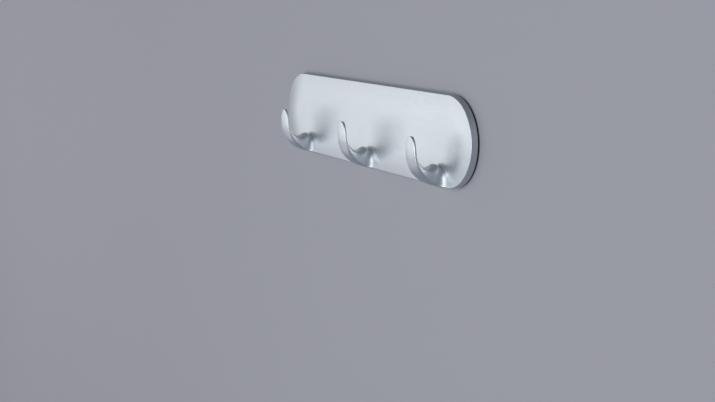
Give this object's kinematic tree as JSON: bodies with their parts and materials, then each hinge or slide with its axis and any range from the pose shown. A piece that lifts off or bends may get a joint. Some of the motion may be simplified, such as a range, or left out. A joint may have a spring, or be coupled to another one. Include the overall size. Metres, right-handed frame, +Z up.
{
  "type": "wall hook rack",
  "caption": "Slim round-ended metal wall plate with a row of upturned tongue hooks cast into its lower edge, hung on a concealed bevelled wall bar.",
  "frame": {"origin": "middle of the rack on the wall plane, at the centre of the wall bar's back face between its two screw holes", "axes": "+X along the rack to the right as seen from the front, +Y into the wall, +Z up"},
  "size_m": [0.22, 0.0209, 0.046],
  "materials": {
    "satin_metal": "fine satin, pale bluish silver",
    "black_steel": "matt black powder coat",
    "black_rubber": "matt black",
    "screw_steel": "turned steel"
  },
  "bodies": {
    "root": {"hook_plate": "satin_metal", "wall_plate": "black_steel", "edge_gasket": "black_rubber", "lock_screw_left": "screw_steel", "lock_screw_right": "screw_steel"}
  },
  "joints": []
}
